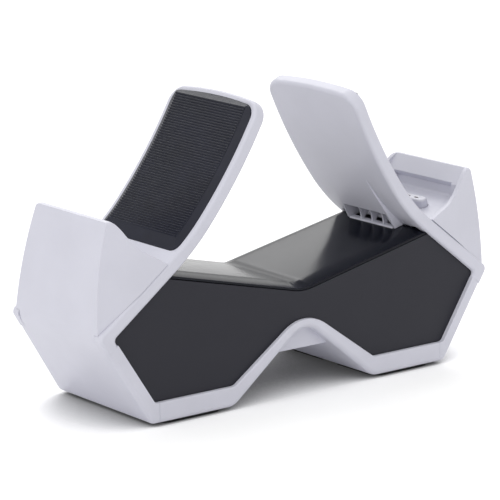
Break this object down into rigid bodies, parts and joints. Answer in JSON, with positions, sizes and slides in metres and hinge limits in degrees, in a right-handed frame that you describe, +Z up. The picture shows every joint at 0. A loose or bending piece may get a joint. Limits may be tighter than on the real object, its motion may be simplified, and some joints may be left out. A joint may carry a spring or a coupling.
{
  "type": "game controller charging dock",
  "caption": "Free-standing charging dock for game controllers: white angular frame, dark inset panels, pockets at the ends and leaning ribbed backrests over an open arch.",
  "frame": {"origin": "centre of the dock's length and depth, on the plane its rubber feet rest on", "axes": "+X along the dock's length to the right as seen from the front, front at -Y, +Z up"},
  "size_m": [0.2506, 0.0716, 0.1456],
  "materials": {
    "shell": "white, fine satin",
    "pad": "black, soft and ribbed",
    "cover": "black, satin gloss",
    "panel": "dark grey, fine satin",
    "post": "white, satin",
    "contact": "gilt, bright",
    "board": "green board",
    "socket": "black, matt",
    "lead": "black, soft",
    "foot": "black, matt",
    "screw": "plated"
  },
  "bodies": {
    "root": {"bottom_frame": "shell", "end_shell_left": "shell", "end_shell_right": "shell", "backrest_left": "shell", "backrest_right": "shell", "backrest_pad_left": "pad", "backrest_pad_right": "pad", "vent_grille_left": "shell", "vent_grille_right": "shell", "top_cover": "cover", "front_panel": "panel", "rear_panel": "panel", "charge_post_left": "post", "charge_post_right": "post", "contacts_left": "contact", "contacts_right": "contact", "contact_board_left": "board", "contact_board_right": "board", "main_board": "board", "power_socket": "socket", "lead_left": "lead", "lead_right": "lead", "foot_left": "foot", "foot_right": "foot", "base_screws": "screw", "board_screws": "screw"}
  },
  "joints": []
}
